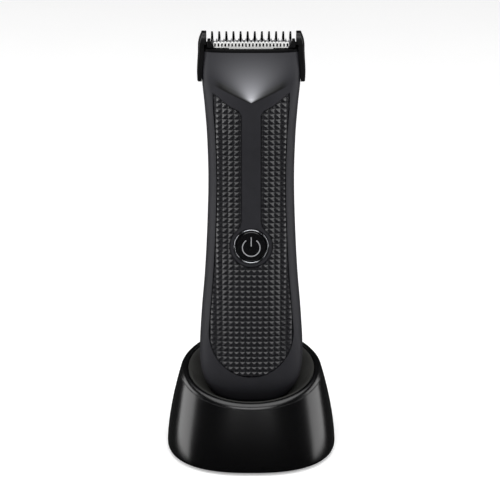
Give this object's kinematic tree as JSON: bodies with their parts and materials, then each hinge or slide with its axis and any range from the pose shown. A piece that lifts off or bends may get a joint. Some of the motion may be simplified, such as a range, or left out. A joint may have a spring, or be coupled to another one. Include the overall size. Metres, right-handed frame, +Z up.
{
  "type": "body groomer",
  "caption": "Cordless body groomer with a toothed blade head, comb guard and textured rubber grip, leaning in an oval charging dock.",
  "frame": {"origin": "centre of the underside of the dock's foot pad, on the surface that the dock stands on", "axes": "+Z up, -Y to the front where the power button faces, +X to the right as seen from the front"},
  "size_m": [0.07, 0.0685, 0.1733],
  "materials": {
    "casing": "soft-touch matt black moulding",
    "rubber": "moulded black rubber",
    "gloss_black": "polished black",
    "chrome": "bright plated ring",
    "comb": "satin to glossy black nylon",
    "steel": "ground stainless steel",
    "ceramic": "fine white ceramic",
    "contact": "gold-flashed contact",
    "inner_plastic": "plain dark moulding",
    "board": "green laminate",
    "battery": "shrink sleeve",
    "lamp": "frosted clear plastic",
    "red_wire": "insulation",
    "dock_gloss": "piano black",
    "dock_satin": "satin black moulding"
  },
  "bodies": {
    "dock": {"dock_shell": "dock_gloss", "dock_cradle": "dock_satin", "dock_base_plate": "dock_satin", "dock_foot_pad": "rubber", "dock_pcb": "board", "dock_inlet": "steel", "inlet_tongue": "inner_plastic", "dock_lead_red": "red_wire", "dock_lead_black": "inner_plastic", "dock_screw_1": "steel", "dock_screw_2": "steel", "dock_screw_3": "steel", "dock_screw_4": "steel", "pin_barrel_left": "inner_plastic", "pin_barrel_right": "inner_plastic"},
    "pin_left": {"charge_pin_left": "contact"},
    "pin_right": {"charge_pin_right": "contact"},
    "handle": {"front_shell": "casing", "rear_shell": "casing", "front_grip": "rubber", "rear_grip": "rubber", "button_bezel": "chrome", "button_seal": "rubber", "case_screw_1": "steel", "case_screw_2": "steel", "case_screw_3": "steel", "case_screw_4": "steel", "main_pcb": "board", "switch_body": "inner_plastic", "status_led": "lamp", "control_chip": "inner_plastic", "work_light_lens": "lamp", "work_light_led": "lamp", "contact_plate": "inner_plastic", "charge_contact_left": "contact", "charge_contact_right": "contact", "battery_cell": "battery", "battery_carrier": "inner_plastic", "battery_tab_lower": "steel", "battery_tab_upper": "steel", "motor_can": "steel", "motor_end_cap": "inner_plastic", "motor_mount": "inner_plastic", "drive_seal": "rubber"},
    "button": {"power_button": "gloss_black"},
    "plunger": {"switch_plunger": "inner_plastic"},
    "rotor": {"motor_shaft": "steel", "crank_cam": "inner_plastic"},
    "blade_head": {"head_housing": "casing", "fixed_blade": "steel", "blade_spring": "steel", "blade_screw_left": "steel", "blade_screw_right": "steel"},
    "cutter": {"moving_blade": "ceramic", "cutter_yoke": "inner_plastic"},
    "comb": {"comb_guard": "comb"}
  },
  "joints": [
    {"name": "handle_lift", "type": "slide", "parent": "dock", "child": "handle", "axis": [0, 0.1736, 0.9848], "range_m": [0, 0.06]},
    {"name": "pin_left_press", "type": "slide", "parent": "dock", "child": "pin_left", "axis": [0, 0.1736, 0.9848], "range_m": [-0.0012, 0], "stiffness_N_per_m": 250, "springref_m": 0.0008},
    {"name": "pin_right_press", "type": "slide", "parent": "dock", "child": "pin_right", "axis": [0, 0.1736, 0.9848], "range_m": [-0.0012, 0], "stiffness_N_per_m": 250, "springref_m": 0.0008},
    {"name": "button_press", "type": "slide", "parent": "handle", "child": "button", "axis": [0, 0.9848, -0.1736], "range_m": [0, 0.0005], "stiffness_N_per_m": 600, "springref_m": -0.0004},
    {"name": "plunger_press", "type": "slide", "parent": "handle", "child": "plunger", "axis": [0, 0.9848, -0.1736], "range_m": [0, 0.0003]},
    {"name": "motor_spin", "type": "hinge", "parent": "handle", "child": "rotor", "pos_m": [0, 0.01713, 0.13903], "axis": [0, 0.1736, 0.9848], "continuous": true},
    {"name": "head_release", "type": "slide", "parent": "handle", "child": "blade_head", "axis": [0, 0.1736, 0.9848], "range_m": [0, 0.015]},
    {"name": "cutter_slide", "type": "slide", "parent": "blade_head", "child": "cutter", "axis": [1, 0, 0], "range_m": [-0.0011, 0.0011]},
    {"name": "comb_release", "type": "slide", "parent": "blade_head", "child": "comb", "axis": [0, 0.1736, 0.9848], "range_m": [0, 0.03]}
  ],
  "couplings": [
    {"joint": "plunger_press", "follows": "button_press", "ratio": 0.6}
  ]
}
